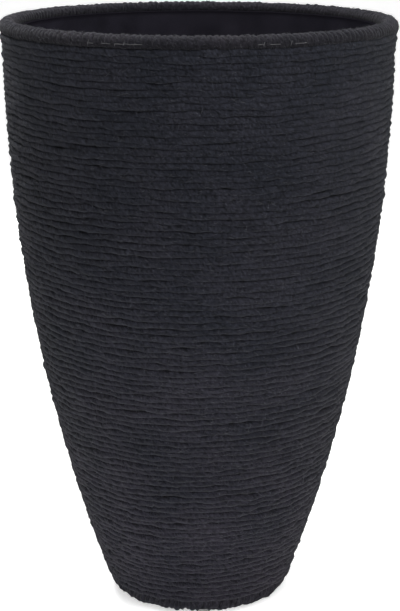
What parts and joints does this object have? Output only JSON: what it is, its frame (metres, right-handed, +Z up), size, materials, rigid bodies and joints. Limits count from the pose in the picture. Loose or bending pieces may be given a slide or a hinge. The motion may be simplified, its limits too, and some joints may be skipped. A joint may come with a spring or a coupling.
{
  "type": "flower pot",
  "caption": "Tall round floor planter that tapers to a narrow foot: a wire frame wound with dark cord, whipped rim and foot, and a loose plastic liner that lifts out.",
  "frame": {"origin": "on the floor, on the pot's axis", "axes": "+Z up the pot's axis, -Y towards the side that faces the camera in the picture"},
  "size_m": [0.3954, 0.3954, 0.6],
  "materials": {
    "frame_wire": "black powder-coated steel wire",
    "felt": "needled black felt",
    "cord": "matte charcoal twisted-fibre cord, slightly hairy",
    "liner": "fine-textured black moulded plastic",
    "glide": "matte grey rubber"
  },
  "bodies": {
    "pot": {"rim_ring": "frame_wire", "base_ring": "frame_wire", "rib_01": "frame_wire", "rib_02": "frame_wire", "rib_03": "frame_wire", "rib_04": "frame_wire", "rib_05": "frame_wire", "rib_06": "frame_wire", "rib_07": "frame_wire", "rib_08": "frame_wire", "rib_09": "frame_wire", "rib_10": "frame_wire", "rib_11": "frame_wire", "rib_12": "frame_wire", "hoop_lower": "frame_wire", "hoop_middle": "frame_wire", "hoop_upper": "frame_wire", "floor_hoop": "frame_wire", "floor_bar_1": "frame_wire", "floor_bar_2": "frame_wire", "floor_bar_3": "frame_wire", "felt_sleeve": "felt", "wall_cord_1": "cord", "wall_cord_2": "cord", "wall_cord_3": "cord", "wall_cord_4": "cord", "rim_whipping": "cord", "base_whipping": "cord", "glide_1": "glide", "glide_2": "glide", "glide_3": "glide", "glide_4": "glide"},
    "liner": {"liner": "liner"}
  },
  "joints": [
    {"name": "liner_lift", "type": "slide", "parent": "pot", "child": "liner", "axis": [0, 0, 1], "range_m": [0, 0.6]}
  ]
}
